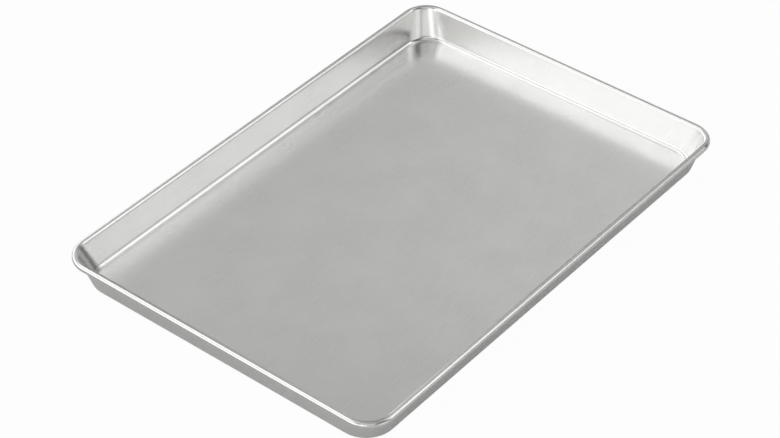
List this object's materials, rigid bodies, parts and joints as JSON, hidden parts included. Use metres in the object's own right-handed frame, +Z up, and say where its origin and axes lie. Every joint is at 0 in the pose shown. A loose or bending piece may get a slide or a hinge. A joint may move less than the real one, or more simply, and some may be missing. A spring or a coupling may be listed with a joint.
{
  "type": "jelly roll pan",
  "caption": "Shallow rectangular aluminium baking pan with leaning walls, rounded corners and a rolled rim, for sponge sheets, biscuits and roasting.",
  "frame": {"origin": "middle of the underside, on the plane the pan rests on", "axes": "+X along the pan's length, +Y across its width, +Z up out of the open side"},
  "size_m": [0.4128, 0.2858, 0.0263],
  "materials": {
    "pan_aluminium": "satin, lightly drawn and unpolished",
    "rim_wire_steel": "drawn wire"
  },
  "bodies": {
    "root": {"pan_shell": "pan_aluminium", "rim_wire": "rim_wire_steel"}
  },
  "joints": []
}
